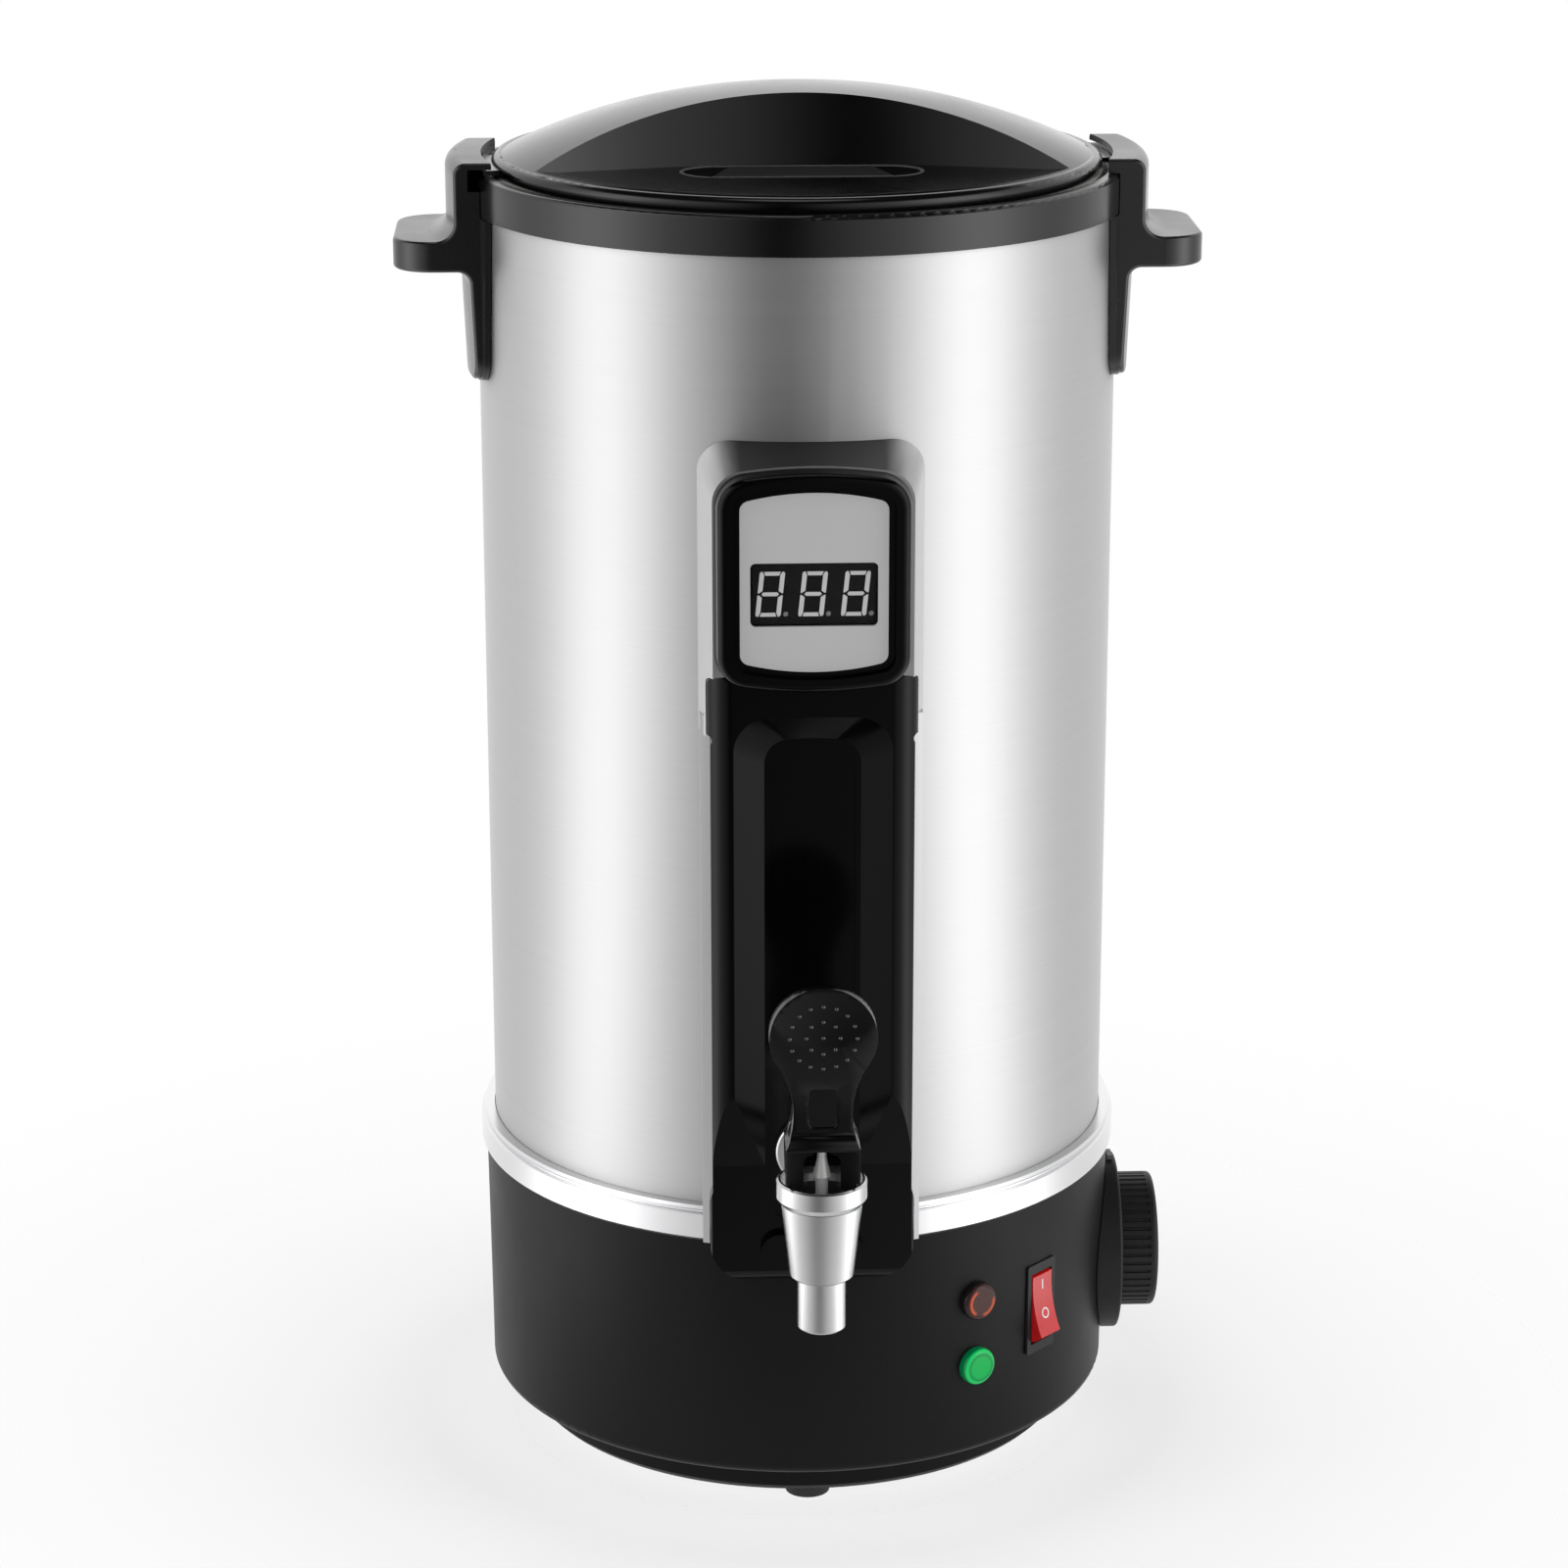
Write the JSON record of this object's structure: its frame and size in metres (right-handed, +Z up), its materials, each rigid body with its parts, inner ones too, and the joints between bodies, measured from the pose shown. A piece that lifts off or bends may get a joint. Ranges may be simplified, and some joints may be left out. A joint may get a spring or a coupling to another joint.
{
  "type": "candle wax melter",
  "caption": "Countertop urn that melts wax: a brushed drum on a heated base, with a domed bayonet lid, side handles, a front display and a lever tap.",
  "frame": {"origin": "drum's axis at floor level, under the feet", "axes": "+Z up along the drum's axis, front with the tap towards -Y, thermostat knob towards +X"},
  "size_m": [0.2588, 0.2914, 0.4546],
  "materials": {
    "brushed_drum": "brushed round the drum, satin",
    "pot_steel": "drawn steel, satin",
    "bright_trim": "polished steel",
    "collar_black": "satin moulded",
    "handle_black": "satin moulded",
    "lid_black": "gloss moulded",
    "inset_grey": "satin",
    "seal_silicone": "translucent silicone",
    "base_black": "matt powder coat",
    "pan_black": "matt powder coat",
    "screw_steel": "zinc plated",
    "foot_rubber": "matt",
    "frame_silver": "silver lacquer, satin gloss",
    "gloss_black": "high gloss",
    "label_grey": "satin film",
    "window_smoke": "smoked acrylic",
    "display_dark": "matt",
    "board_green": "solder mask",
    "tap_chrome": "satin chrome plate",
    "tap_black": "satin moulded",
    "stem_steel": "turned",
    "rocker_red": "gloss, translucent",
    "switch_black": "moulded",
    "lamp_red": "translucent, unlit",
    "lamp_green": "translucent, lit",
    "knob_black": "satin moulded",
    "pointer_grey": "moulded",
    "heater_aluminium": "cast",
    "element_steel": "heat tinted",
    "terminal_cream": "moulded",
    "contact_brass": "plated"
  },
  "bodies": {
    "root": {"drum_shell": "brushed_drum", "inner_pot": "pot_steel", "top_collar": "collar_black", "right_handle": "handle_black", "left_handle": "handle_black", "handle_screws": "screw_steel", "base_band": "bright_trim", "base_shell": "base_black", "base_pan": "pan_black", "base_screws": "screw_steel", "feet": "foot_rubber", "foot_screws": "screw_steel", "heat_shield": "heater_aluminium", "heater_posts": "screw_steel", "heater_plate": "heater_aluminium", "heating_element": "element_steel", "thermal_cutout": "contact_brass", "temperature_probe": "stem_steel", "terminal_block": "terminal_cream", "housing_frame": "frame_silver", "housing_screws": "screw_steel", "lower_cover": "gloss_black", "display_bezel": "gloss_black", "label_panel": "label_grey", "display_window": "window_smoke", "display_module": "display_dark", "display_board": "board_green", "tap_body": "tap_chrome", "tap_ring": "tap_chrome", "tap_bonnet": "tap_black", "tap_washers": "seal_silicone", "tap_lock_nut": "stem_steel", "rocker_bezel": "switch_black", "switch_terminals": "contact_brass", "red_lamp": "lamp_red", "green_lamp": "lamp_green", "lamp_holders": "switch_black", "knob_plate": "knob_black", "dial_pointer": "pointer_grey", "thermostat": "stem_steel", "power_inlet": "switch_black", "inlet_pins": "contact_brass"},
    "lid_seal": {"lid_gasket": "seal_silicone"},
    "lid": {"lid": "lid_black", "lid_inset": "inset_grey"},
    "tap_stem": {"tap_stem": "stem_steel", "tap_seat_cup": "seal_silicone", "tap_lever_pin": "stem_steel"},
    "tap_lever": {"tap_lever": "tap_black"},
    "rocker": {"rocker": "rocker_red"},
    "knob": {"knob": "knob_black", "thermostat_spindle": "stem_steel"}
  },
  "joints": [
    {"name": "lid_lift", "type": "slide", "parent": "root", "child": "lid_seal", "axis": [0, 0, 1], "range_m": [0, 0.12]},
    {"name": "lid_turn", "type": "hinge", "parent": "lid_seal", "child": "lid", "pos_m": [0, 0, 0.43], "axis": [0, 0, 1], "range_deg": [0, 32]},
    {"name": "tap_stem_lift", "type": "slide", "parent": "root", "child": "tap_stem", "axis": [0, 0, 1], "range_m": [0, 0.0018]},
    {"name": "tap_lever_tilt", "type": "hinge", "parent": "tap_stem", "child": "tap_lever", "pos_m": [0, -0.17, 0.164], "axis": [1, 0, 0], "range_deg": [0, 24], "stiffness_Nm_per_rad": 0.5, "springref_deg": -11.46},
    {"name": "rocker_press", "type": "hinge", "parent": "root", "child": "rocker", "pos_m": [0.0747, -0.06966, 0.0613], "axis": [0.682, 0.7314, 0], "range_deg": [0, 22]},
    {"name": "knob_turn", "type": "hinge", "parent": "root", "child": "knob", "pos_m": [0.118, 0, 0.0544], "axis": [1, 0, 0], "range_deg": [-280, 0]}
  ],
  "couplings": [
    {"joint": "tap_stem_lift", "follows": "tap_lever_tilt", "m_per_rad": 0.004125}
  ]
}
